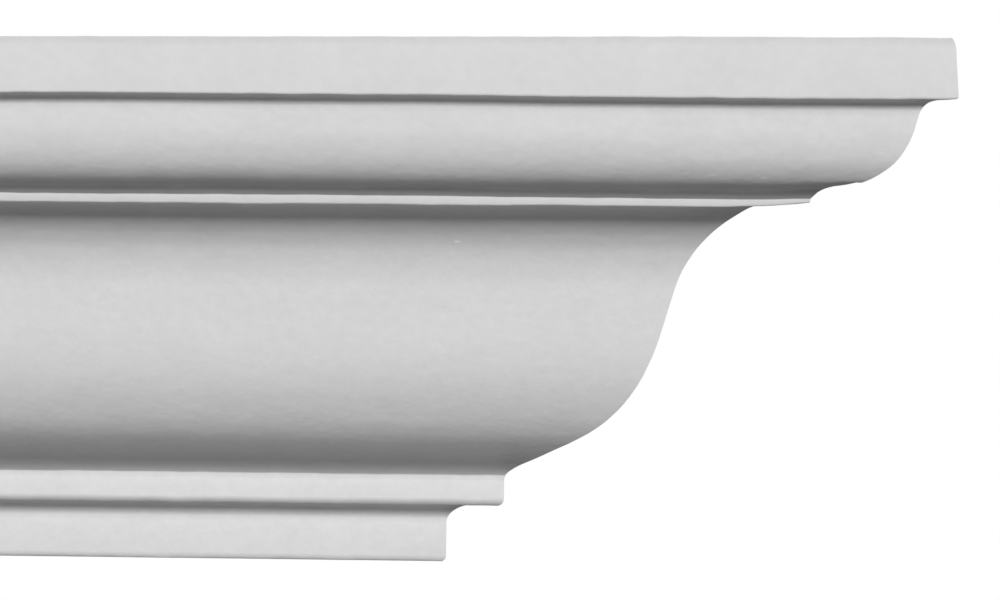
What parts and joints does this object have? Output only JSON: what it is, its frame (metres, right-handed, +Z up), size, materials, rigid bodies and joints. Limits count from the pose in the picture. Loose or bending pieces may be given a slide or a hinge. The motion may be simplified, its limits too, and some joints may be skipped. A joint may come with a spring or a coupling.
{
  "type": "cornice moulding length",
  "caption": "Length of cyma cornice moulding for the angle of a wall and ceiling, cut square at one end and mitred at the other for an outside corner.",
  "frame": {"origin": "middle of the flat land that bears on the wall", "axes": "+X along the length towards the mitred end, +Y into the wall, so the moulding projects towards -Y, +Z up to the ceiling land"},
  "size_m": [0.3046, 0.1412, 0.1334],
  "materials": {
    "primed_foam": "matt white primer sprayed on a dense rigid polyurethane foam casting; back and cut ends in the bare foam"
  },
  "bodies": {
    "root": {"cornice_length": "primed_foam"}
  },
  "joints": []
}
